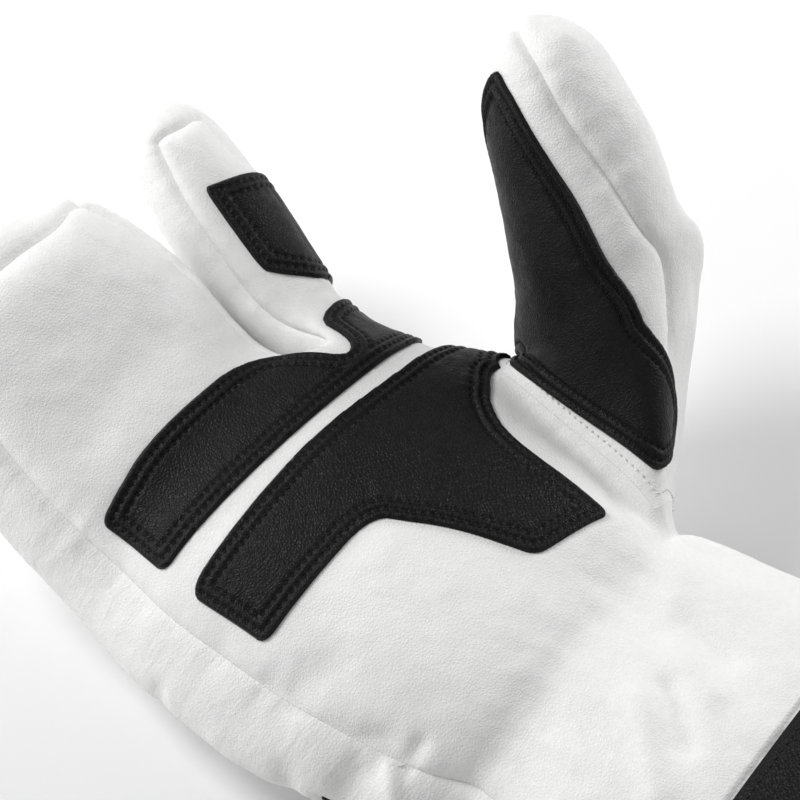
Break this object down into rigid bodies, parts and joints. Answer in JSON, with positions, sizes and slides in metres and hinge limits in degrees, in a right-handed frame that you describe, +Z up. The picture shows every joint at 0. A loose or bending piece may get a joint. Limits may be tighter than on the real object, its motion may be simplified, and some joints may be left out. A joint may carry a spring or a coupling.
{
  "type": "lobster mitt",
  "caption": "Padded leather lobster mitt for the right hand, with a three-finger mitten, a separate index finger and black palm reinforcements.",
  "frame": {"origin": "on the flat underside that the mitt rests on, below the middle of the palm", "axes": "+X to the thumb side, +Y to the fingertips, +Z up out of the palm"},
  "size_m": [0.1849, 0.2596, 0.1188],
  "materials": {
    "white_leather": "satin",
    "black_leather": "satin"
  },
  "bodies": {
    "root": {"palm_panel": "white_leather", "back_panel": "white_leather", "side_gusset": "white_leather", "fourchette": "white_leather", "thumb_inner": "white_leather", "thumb_outer": "white_leather", "cuff": "black_leather", "cuff_hem": "black_leather", "index_patch": "black_leather", "knuckle_patch": "black_leather", "palm_patch": "black_leather", "thumb_patch": "black_leather"}
  },
  "joints": []
}
